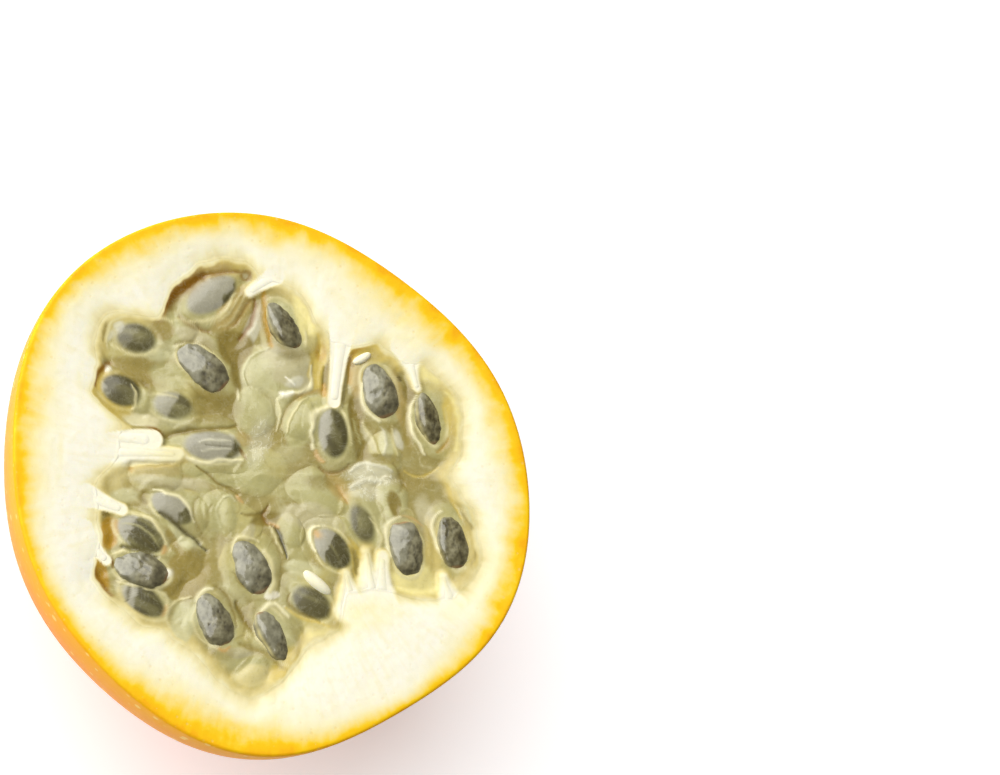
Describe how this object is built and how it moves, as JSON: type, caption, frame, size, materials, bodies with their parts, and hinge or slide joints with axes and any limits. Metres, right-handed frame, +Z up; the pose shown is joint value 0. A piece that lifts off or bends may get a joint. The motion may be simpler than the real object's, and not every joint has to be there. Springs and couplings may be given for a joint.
{
  "type": "halved passion fruit",
  "caption": "Half of an orange-rinded passion fruit, cut face up, with thick white pith round a lobed hollow full of seeds in clear jelly.",
  "frame": {"origin": "on the ground, under the middle of the rim's box", "axes": "+Z up, out of the cut face; +X and +Y lie along the cut face"},
  "size_m": [0.0701, 0.072, 0.0362],
  "materials": {
    "rind": "orange skin with a soft shine and pale dots outside, matt cream pith at the cut",
    "pulp": "wet grey-green jelly round grey pitted seeds"
  },
  "bodies": {
    "root": {"shell": "rind", "pulp": "pulp"}
  },
  "joints": []
}
